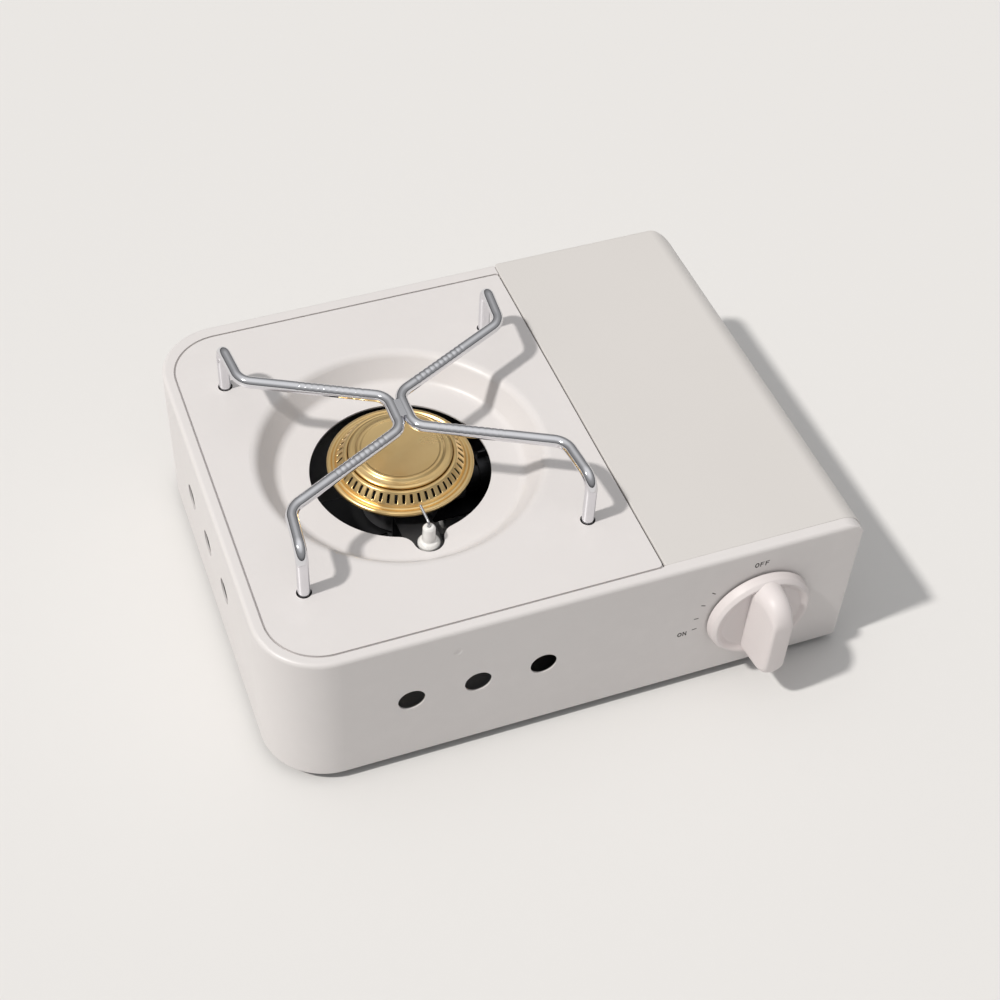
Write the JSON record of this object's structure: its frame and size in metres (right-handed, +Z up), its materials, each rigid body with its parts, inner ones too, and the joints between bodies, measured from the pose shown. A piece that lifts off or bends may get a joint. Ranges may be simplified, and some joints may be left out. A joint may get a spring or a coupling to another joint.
{
  "type": "portable gas camping stove",
  "caption": "Low rectangular camping stove with a dished burner pan, brass burner under a crossed rod pot support, front knob and a hinged cartridge lid.",
  "frame": {"origin": "bottom centre of the box round the whole object, at the undersides of the feet", "axes": "+X to the right along the long side, +Y to the back, +Z up; the knob faces -Y"},
  "size_m": [0.256, 0.2254, 0.1042],
  "materials": {
    "body_paint": "satin warm white powder coat",
    "lid_paint": "satin warm white powder coat",
    "base_steel": "zinc plated sheet",
    "foot_rubber": "matt black",
    "screw_steel": "zinc plated",
    "rod_chrome": "bright chrome plate",
    "burner_brass": "polished, clear lacquered",
    "burner_aluminium": "die cast, matt",
    "tube_steel": "drawn tube",
    "gas_brass": "machined",
    "pipe_aluminium": "drawn, bare",
    "governor_zinc": "die cast, bare",
    "seal_rubber": "matt black",
    "piezo_plastic": "moulded black",
    "spindle_brass": "turned",
    "insulator_ceramic": "glazed white",
    "wire_steel": "heat resistant wire",
    "lead_plastic": "silicone sleeve",
    "cam_plastic": "moulded acetal",
    "knob_plastic": "moulded warm white, fine satin",
    "magnet_black": "ferrite in a black holder"
  },
  "bodies": {
    "stove_body": {"body_shell": "body_paint", "top_plate": "body_paint", "base_pan": "base_steel", "bay_partition": "base_steel", "foot_front_left": "foot_rubber", "foot_front_right": "foot_rubber", "foot_rear_left": "foot_rubber", "foot_rear_right": "foot_rubber", "foot_screws": "screw_steel", "burner_screws": "screw_steel", "governor_screws": "screw_steel", "burner_port_ring": "burner_brass", "burner_cap": "burner_brass", "burner_bowl": "burner_aluminium", "mixing_tube": "tube_steel", "air_shutter": "tube_steel", "burner_bracket": "base_steel", "jet_holder": "gas_brass", "gas_jet": "gas_brass", "gas_pipe": "pipe_aluminium", "governor_body": "governor_zinc", "governor_cap": "governor_zinc", "governor_bracket": "base_steel", "cartridge_collar": "base_steel", "cartridge_seal": "seal_rubber", "cartridge_cradle": "base_steel", "piezo_body": "piezo_plastic", "piezo_bracket": "base_steel", "electrode_insulator": "insulator_ceramic", "electrode_wire": "wire_steel", "electrode_bracket": "base_steel", "ignition_lead": "lead_plastic", "hinge_rod": "screw_steel", "lid_magnet": "magnet_black"},
    "knob_group": {"knob": "knob_plastic", "valve_spindle": "spindle_brass", "igniter_cam": "cam_plastic"},
    "plunger": {"piezo_plunger": "spindle_brass"},
    "lid": {"cartridge_lid": "lid_paint"},
    "pot_support": {"pot_support_left_rod": "rod_chrome", "pot_support_right_rod": "rod_chrome", "pot_support_weld": "rod_chrome"}
  },
  "joints": [
    {"name": "knob_turn", "type": "hinge", "parent": "stove_body", "child": "knob_group", "pos_m": [0.082, -0.0907, 0.04], "axis": [0, -1, 0], "range_deg": [0, 95]},
    {"name": "piezo_press", "type": "slide", "parent": "stove_body", "child": "plunger", "axis": [-1, 0, 0], "range_m": [0, 0.0041]},
    {"name": "lid_hinge", "type": "hinge", "parent": "stove_body", "child": "lid", "pos_m": [0.1256, 0, 0.052], "axis": [0, 1, 0], "range_deg": [0, 95]},
    {"name": "pot_support_lift", "type": "slide", "parent": "stove_body", "child": "pot_support", "axis": [0, 0, 1], "range_m": [0, 0.012]}
  ],
  "couplings": [
    {"joint": "piezo_press", "follows": "knob_turn", "m_per_rad": 0.002412}
  ]
}
